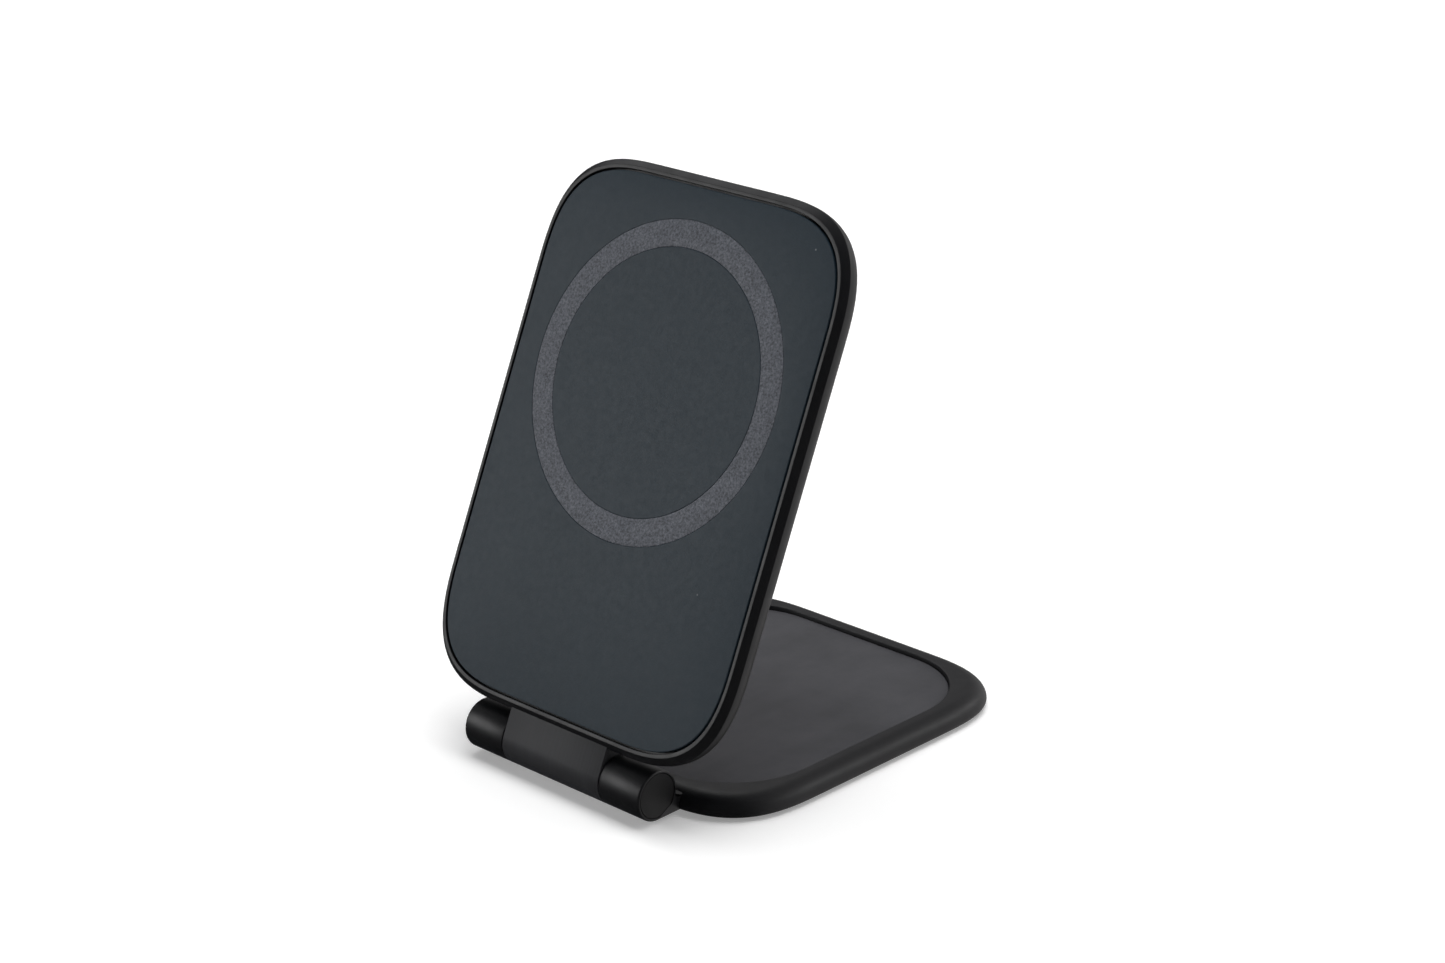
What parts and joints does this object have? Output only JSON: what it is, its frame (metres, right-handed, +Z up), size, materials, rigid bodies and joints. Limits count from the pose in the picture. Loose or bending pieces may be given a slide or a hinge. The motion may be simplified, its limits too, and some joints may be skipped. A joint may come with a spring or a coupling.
{
  "type": "phone stand",
  "caption": "Folding magnetic phone stand: a slim upright pad with a ring of hidden magnets, on a friction hinge along the front edge of a flat weighted base tray.",
  "frame": {"origin": "on the table, under the middle of the whole stand as it stands open at rest", "axes": "+Z up from the table, +X across to the right as seen from the front, +Y from the hinge towards the back of the base"},
  "size_m": [0.0708, 0.0826, 0.0992],
  "materials": {
    "black_metal": "fine satin black, anodised or painted over aluminium",
    "brushed_black": "black over a finish turned round the barrel, lighter than the end knuckles",
    "slate_face": "soft satin slate grey, finely blasted",
    "ring_grey": "frosted speckled grey",
    "grey_mat": "matt grey with faint smudges",
    "cap_black": "plain matt black",
    "foot_rubber": "matt black",
    "moulded_plastic": "moulded, fine grain",
    "black_screw": "black oxide",
    "plain_steel": "zinc plated",
    "ground_steel": "ground and polished",
    "dark_spring": "blued spring steel",
    "bronze": "sintered bronze, oiled",
    "magnet_nickel": "nickel plated",
    "adhesive_film": "clear film on a pale liner colour"
  },
  "bodies": {
    "base": {"base_shell": "black_metal", "base_mat": "grey_mat", "ballast_plate": "plain_steel", "bottom_cover": "moulded_plastic", "cover_screws": "black_screw", "foot_pads": "foot_rubber", "bracket_left": "black_metal", "bracket_right": "black_metal", "bracket_screws": "plain_steel", "hinge_shaft": "ground_steel", "shaft_nut": "plain_steel", "disc_springs": "dark_spring", "thrust_washer": "bronze", "end_cap_left": "cap_black", "end_cap_right": "cap_black"},
    "pad": {"centre_knuckle": "brushed_black", "bush_left": "bronze", "bush_right": "bronze", "friction_sleeve": "dark_spring", "knuckle_screws": "plain_steel", "pad_housing": "black_metal", "face_panel": "slate_face", "mark_ring": "ring_grey", "face_adhesive": "adhesive_film", "magnet_carrier": "moulded_plastic", "magnet_segments": "magnet_nickel", "shunt_ring": "plain_steel", "carrier_screws": "plain_steel"}
  },
  "joints": [
    {"name": "pad_tilt", "type": "hinge", "parent": "base", "child": "pad", "pos_m": [0, -0.03685, 0.00505], "axis": [1, 0, 0], "range_deg": [-65.7, 14.3]}
  ]
}
